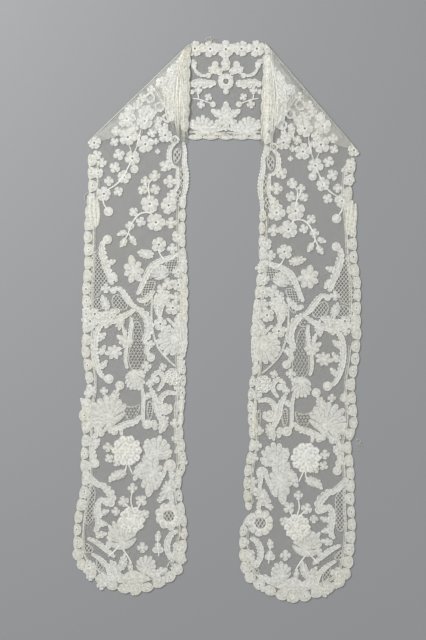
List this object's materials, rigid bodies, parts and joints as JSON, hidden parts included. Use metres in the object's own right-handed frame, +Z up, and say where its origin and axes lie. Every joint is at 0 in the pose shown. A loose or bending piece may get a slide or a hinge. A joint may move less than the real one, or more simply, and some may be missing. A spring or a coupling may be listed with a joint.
{
  "type": "needle lace stole",
  "caption": "Long stole of floral needle lace, folded at both shoulders and laid flat in a U, with scalloped edges and rounded ends.",
  "frame": {"origin": "on the surface the stole lies on, under the middle of its outline", "axes": "+X across the stole towards its right front as seen from above, +Y from the rounded ends towards the neck band, +Z up out of the surface"},
  "size_m": [0.52, 1.0126, 0.0051],
  "materials": {
    "clothwork": "matt cotton and linen thread, worked solid",
    "net": "fine open mesh of thin thread"
  },
  "bodies": {
    "root": {"neck_band": "clothwork", "left_tuck": "net", "right_tuck": "net", "left_front": "clothwork", "right_front": "clothwork"}
  },
  "joints": []
}
